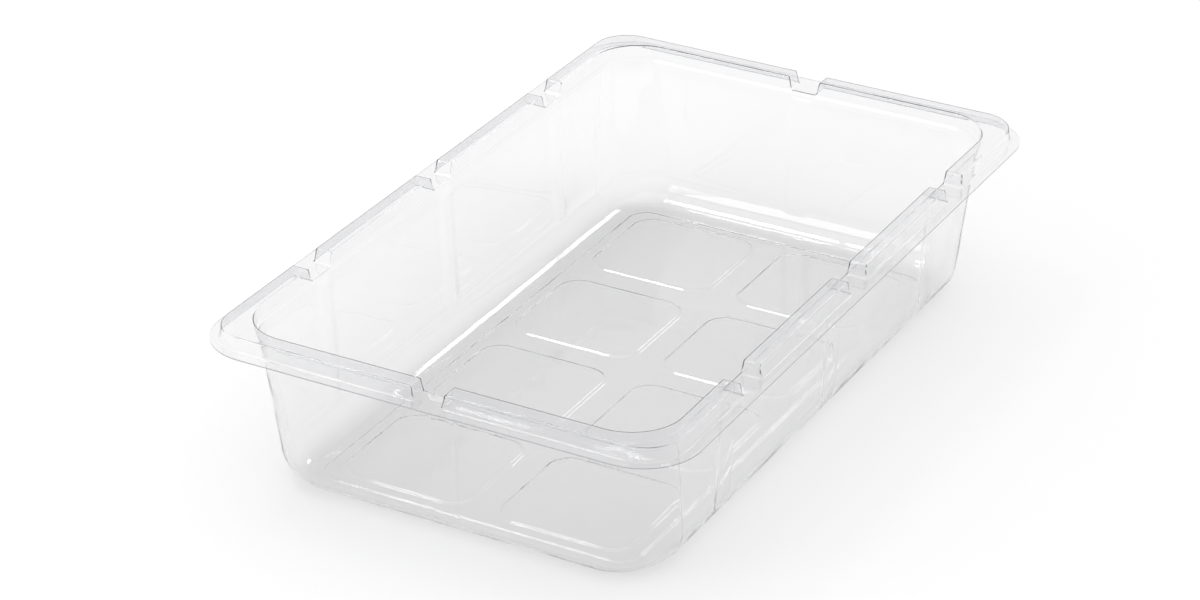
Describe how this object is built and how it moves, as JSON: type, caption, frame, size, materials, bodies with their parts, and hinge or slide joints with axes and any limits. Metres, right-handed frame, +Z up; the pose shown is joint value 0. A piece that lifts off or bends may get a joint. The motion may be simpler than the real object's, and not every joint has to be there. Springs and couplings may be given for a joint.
{
  "type": "food tray",
  "caption": "Clear rectangular formed plastic tray with rounded corners, a flat flange, raised sealing lands parted by vent gaps, fluted walls and a padded base.",
  "frame": {"origin": "centre of the underside of the base, on the plane that the tray stands on", "axes": "+X along the tray's length, +Y across it, +Z up to the sealing lands"},
  "size_m": [0.2898, 0.1798, 0.0616],
  "materials": {
    "clear_plastic": "clear gloss"
  },
  "bodies": {
    "root": {"tray": "clear_plastic"}
  },
  "joints": []
}
